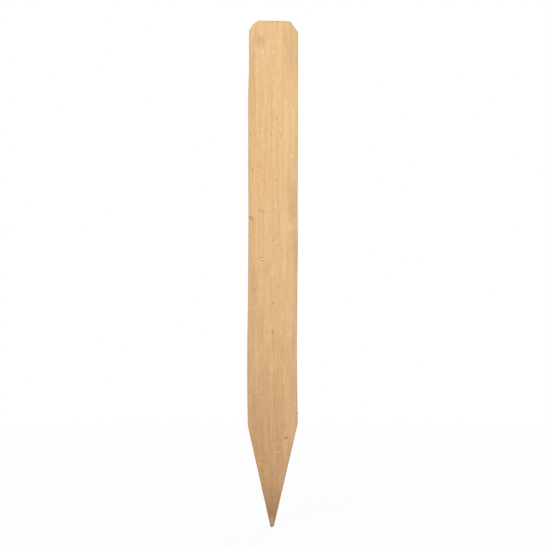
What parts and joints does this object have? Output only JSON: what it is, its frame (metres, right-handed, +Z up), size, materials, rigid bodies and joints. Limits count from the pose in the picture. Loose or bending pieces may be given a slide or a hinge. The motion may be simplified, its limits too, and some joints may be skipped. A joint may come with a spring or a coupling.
{
  "type": "plant label stake",
  "caption": "Flat wooden plant label stake with a clipped head and a cut point that is pushed into soil.",
  "frame": {"origin": "foot of the blade's middle line, level with the tip of the point", "axes": "+Z up the blade from the point to the head, +Y through the thickness from the front face to the back face, +X to the right as the front face is seen"},
  "size_m": [0.0303, 0.005, 0.3],
  "materials": {
    "wood": "bare sanded wood, pale and fine-grained, dry and matt, a little darker towards the point"
  },
  "bodies": {
    "root": {"stake": "wood"}
  },
  "joints": []
}
